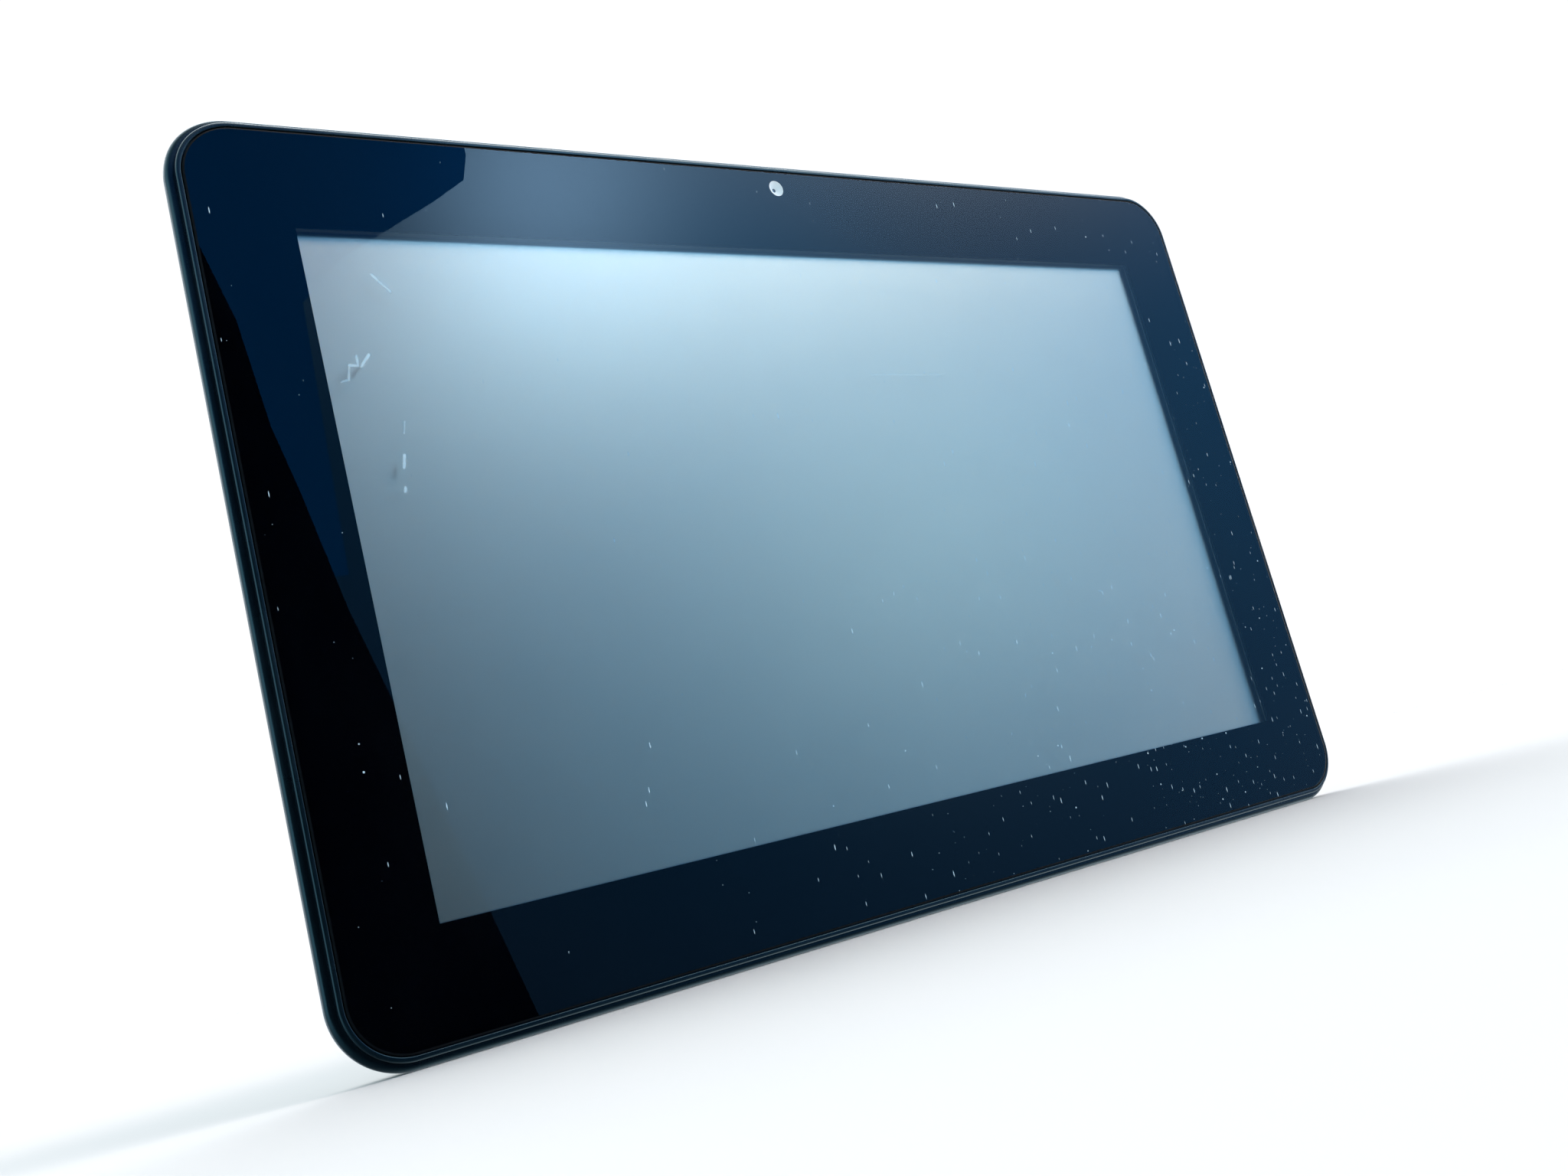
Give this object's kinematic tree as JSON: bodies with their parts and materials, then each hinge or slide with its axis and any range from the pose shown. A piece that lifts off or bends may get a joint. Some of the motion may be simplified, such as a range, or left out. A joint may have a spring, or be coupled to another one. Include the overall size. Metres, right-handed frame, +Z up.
{
  "type": "smart display",
  "caption": "Slim slate-style smart display: glass front with wide black border round a widescreen panel, front camera, rounded corners, power key and volume rocker on the top edge.",
  "frame": {"origin": "centre of the flat back face, on its surface", "axes": "+X to the viewer's right along the long edge, +Y out of the back, so the screen faces -Y, +Z up the screen"},
  "size_m": [0.2636, 0.0104, 0.1688],
  "materials": {
    "cover_glass": "gloss",
    "black_print": "gloss",
    "touch_film": "gloss",
    "foam_tape": "matte",
    "housing_plastic": "satin",
    "speaker_mesh": "matte",
    "key_plastic": "satin",
    "plated_steel": "satin",
    "inner_plastic": "matte",
    "circuit_board": "satin",
    "panel_steel": "satin",
    "lcd_glass": "satin",
    "white_film": "satin",
    "clear_acrylic": "gloss",
    "led_white": "gloss",
    "flex_film": "satin",
    "chip_plastic": "matte",
    "graphite": "satin",
    "battery_foil": "satin",
    "lead_jacket": "matte",
    "lens_glass": "gloss",
    "grey_gasket": "matte",
    "dark_steel": "satin"
  },
  "bodies": {
    "display": {"cover_glass": "cover_glass", "print_mask": "black_print", "touch_sensor": "touch_film", "glass_tape": "foam_tape", "front_frame": "housing_plastic", "rear_cover": "housing_plastic", "speaker_mesh_left": "speaker_mesh", "speaker_mesh_right": "speaker_mesh", "rocker_pin": "plated_steel", "key_bracket": "inner_plastic", "key_board": "circuit_board", "key_domes": "plated_steel", "lcd_bezel": "panel_steel", "lcd_cell": "lcd_glass", "lcd_driver_board": "circuit_board", "diffuser_films": "white_film", "light_guide": "clear_acrylic", "reflector_sheet": "white_film", "lcd_tray": "panel_steel", "led_strip": "led_white", "display_flex": "flex_film", "touch_flex": "flex_film", "main_board": "circuit_board", "cpu_shield": "plated_steel", "radio_shield": "plated_steel", "processor": "chip_plastic", "memory_chips": "chip_plastic", "heat_spreader": "graphite", "usb_socket": "plated_steel", "audio_socket": "chip_plastic", "card_socket": "plated_steel", "battery_cell_left": "battery_foil", "battery_cell_right": "battery_foil", "battery_board": "circuit_board", "battery_leads": "lead_jacket", "speaker_left": "inner_plastic", "speaker_right": "inner_plastic", "speaker_gaskets": "foam_tape", "speaker_leads": "lead_jacket", "camera_module": "inner_plastic", "camera_lens": "lens_glass", "camera_gasket": "grey_gasket", "camera_flex": "flex_film", "microphone": "plated_steel", "wifi_antenna": "flex_film", "antenna_cable": "lead_jacket", "key_flex": "flex_film", "board_screws": "plated_steel", "cover_screws": "dark_steel"},
    "power_button": {"power_key": "key_plastic"},
    "volume_button": {"volume_rocker": "key_plastic"}
  },
  "joints": [
    {"name": "power_key_press", "type": "slide", "parent": "display", "child": "power_button", "axis": [0, 0, -1], "range_m": [0, 0.0004], "stiffness_N_per_m": 600},
    {"name": "volume_rocker_tilt", "type": "hinge", "parent": "display", "child": "volume_button", "pos_m": [0.09, -0.0061, 0.0805], "axis": [0, 1, 0], "range_deg": [-1.6, 1.6], "stiffness_Nm_per_rad": 0.06}
  ]
}
